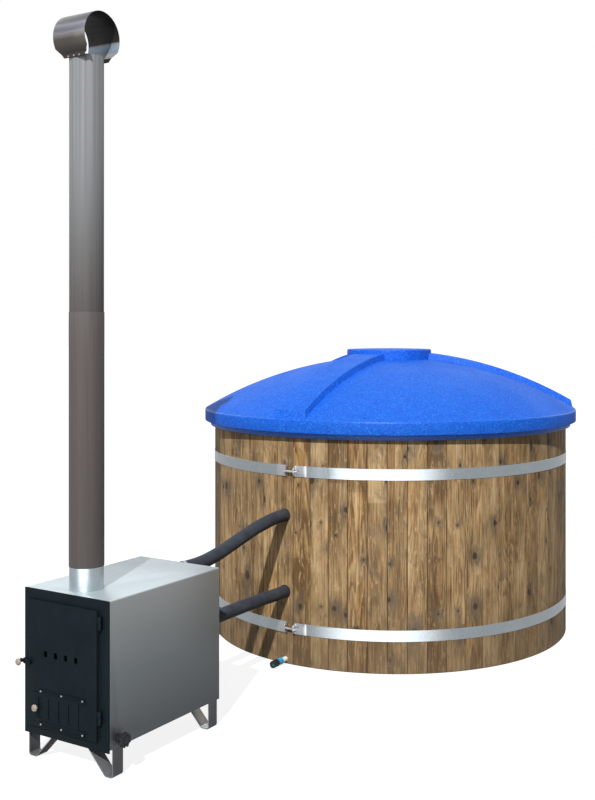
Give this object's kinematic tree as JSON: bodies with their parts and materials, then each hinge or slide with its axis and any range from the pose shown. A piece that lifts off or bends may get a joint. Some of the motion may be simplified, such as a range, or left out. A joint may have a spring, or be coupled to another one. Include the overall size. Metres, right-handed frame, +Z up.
{
  "type": "wooden hot tub",
  "caption": "Round stave hot tub with steel hoops, moulded liner and domed lid, joined by two hoses to an outside wood stove with a door, damper, tall flue and ring cowl.",
  "frame": {"origin": "centre of the tub on the ground, on the underside of the middle joist", "axes": "+Z up; the stove stands on the -Y side with its door facing -Y; +X is to the right when facing the stove door from the front"},
  "size_m": [1.8998, 3.2459, 2.618],
  "materials": {
    "spruce_staves": "heat-treated spruce with knots, matt",
    "softwood": "planed softwood, matt",
    "liner_plastic": "satin moulded plastic",
    "lid_plastic": "speckled blue moulded plastic",
    "galvanised_band": "bright galvanised strip",
    "zinc_hardware": "zinc-plated steel",
    "casing_steel": "satin galvanised sheet",
    "leg_steel": "bent flat bar, satin",
    "flue_steel": "rolled stainless tube",
    "black_paint": "black heat-proof paint",
    "fire_steel": "bare sooty steel",
    "hose_rubber": "black ribless rubber hose",
    "seal_rubber": "rubber gasket",
    "rope_seal": "woven glass rope seal",
    "dark_plastic": "black moulded plastic",
    "white_plastic": "white pipe plastic",
    "blue_valve": "light blue valve body",
    "knob_wood": "turned pale wood knob"
  },
  "bodies": {
    "root": {"base_joists": "softwood", "base_deck": "softwood", "staves": "spruce_staves", "liner": "liner_plastic", "bench_seat": "softwood", "bench_uprights": "softwood", "hoop_lower": "galvanised_band", "hoop_upper": "galvanised_band", "hoop_lugs": "zinc_hardware", "hoop_bolts": "zinc_hardware", "hoop_nuts": "zinc_hardware", "port_fitting_hot": "dark_plastic", "port_fitting_cold": "dark_plastic", "port_gaskets": "seal_rubber", "port_nuts": "dark_plastic", "port_strainers": "dark_plastic", "hose_hot": "hose_rubber", "hose_cold": "hose_rubber", "hose_clamps": "zinc_hardware", "floor_drain": "white_plastic", "drain_pipe": "white_plastic", "drain_valve": "blue_valve", "stove_casing": "casing_steel", "stove_firebox": "fire_steel", "stove_front": "black_paint", "fire_grate": "fire_steel", "leg_front_left": "leg_steel", "leg_front_right": "leg_steel", "leg_rear_left": "leg_steel", "leg_rear_right": "leg_steel", "stove_stub_hot": "zinc_hardware", "stove_stub_cold": "zinc_hardware", "stove_drain_cock": "zinc_hardware", "frame_hinges": "black_paint", "latch_keeper": "black_paint", "flue_collar": "galvanised_band", "flue_lower": "flue_steel", "flue_upper": "flue_steel", "cowl": "flue_steel", "cowl_screws": "zinc_hardware"},
    "lid": {"lid": "lid_plastic"},
    "stove_door": {"door_panel": "black_paint", "door_seal": "rope_seal", "door_hinges": "black_paint", "latch_pivot": "black_paint", "damper_rail_top": "black_paint", "damper_rail_bottom": "black_paint", "damper_screws": "zinc_hardware"},
    "latch": {"latch_bar": "black_paint", "latch_knob": "knob_wood"},
    "damper": {"damper_plate": "black_paint", "damper_knob": "knob_wood"},
    "tub_drain_knob": {"drain_knob": "dark_plastic"},
    "stove_drain_handwheel": {"stove_drain_wheel": "dark_plastic"}
  },
  "joints": [
    {"name": "lid_lift", "type": "slide", "parent": "root", "child": "lid", "axis": [0, 0, 1], "range_m": [0, 0.5]},
    {"name": "door_swing", "type": "hinge", "parent": "root", "child": "stove_door", "pos_m": [0.131, -2.261, 0.35], "axis": [0, 0, 1], "range_deg": [0, 110]},
    {"name": "latch_turn", "type": "hinge", "parent": "stove_door", "child": "latch", "pos_m": [-0.195, -2.266, 0.346], "axis": [0, 1, 0], "range_deg": [0, 75]},
    {"name": "damper_slide", "type": "slide", "parent": "stove_door", "child": "damper", "axis": [1, 0, 0], "range_m": [0, 0.024]},
    {"name": "drain_knob_turn", "type": "hinge", "parent": "root", "child": "tub_drain_knob", "pos_m": [-0.04, -1, 0.022], "axis": [0, -1, 0], "range_deg": [0, 90]},
    {"name": "drain_wheel_turn", "type": "hinge", "parent": "root", "child": "stove_drain_handwheel", "pos_m": [0.184, -2.204, 0.128], "axis": [1, 0, 0], "continuous": true}
  ]
}
